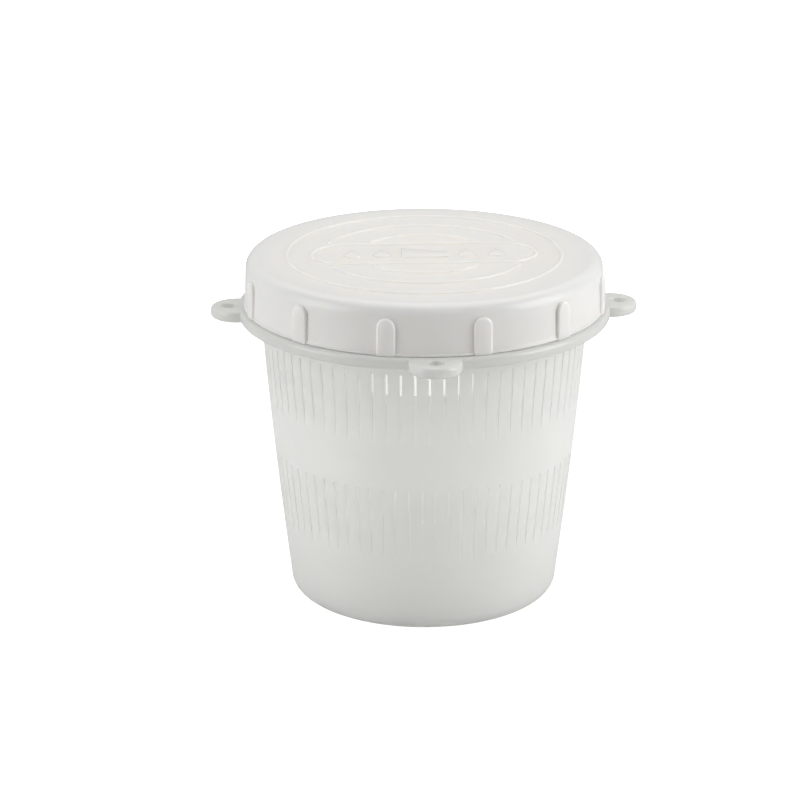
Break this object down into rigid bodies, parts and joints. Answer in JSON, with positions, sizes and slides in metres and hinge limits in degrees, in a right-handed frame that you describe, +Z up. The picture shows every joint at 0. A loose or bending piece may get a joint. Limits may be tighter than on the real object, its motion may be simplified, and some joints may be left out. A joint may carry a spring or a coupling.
{
  "type": "cheese mold",
  "caption": "Slotted round plastic cheese mold with eared tabs round its flange and a ribbed screw lid that closes on a soft rim seal.",
  "frame": {"origin": "centre of the face that the pot stands on, on the pot's axis", "axes": "+Z up along the pot's axis and out of its mouth; the four tabs point along +X, +Y, -X and -Y"},
  "size_m": [0.131, 0.131, 0.1085],
  "materials": {
    "natural_polypropylene": "frosted, translucent natural moulding",
    "white_polypropylene": "satin white moulding",
    "seal_rubber": "soft, matte, milky silicone"
  },
  "bodies": {
    "mold": {"pot_wall": "natural_polypropylene", "pot_base": "natural_polypropylene", "pot_collar": "natural_polypropylene"},
    "seal": {"rim_seal": "seal_rubber"},
    "lid": {"screw_lid": "white_polypropylene"}
  },
  "joints": [
    {"name": "lid_lift", "type": "slide", "parent": "mold", "child": "seal", "axis": [0, 0, 1], "range_m": [0, 0.048]},
    {"name": "lid_turn", "type": "hinge", "parent": "seal", "child": "lid", "pos_m": [0, 0, 0.1], "axis": [0, 0, 1], "range_deg": [0, 1440]}
  ],
  "couplings": [
    {"joint": "lid_lift", "follows": "lid_turn", "m_per_rad": 0.0019099}
  ]
}
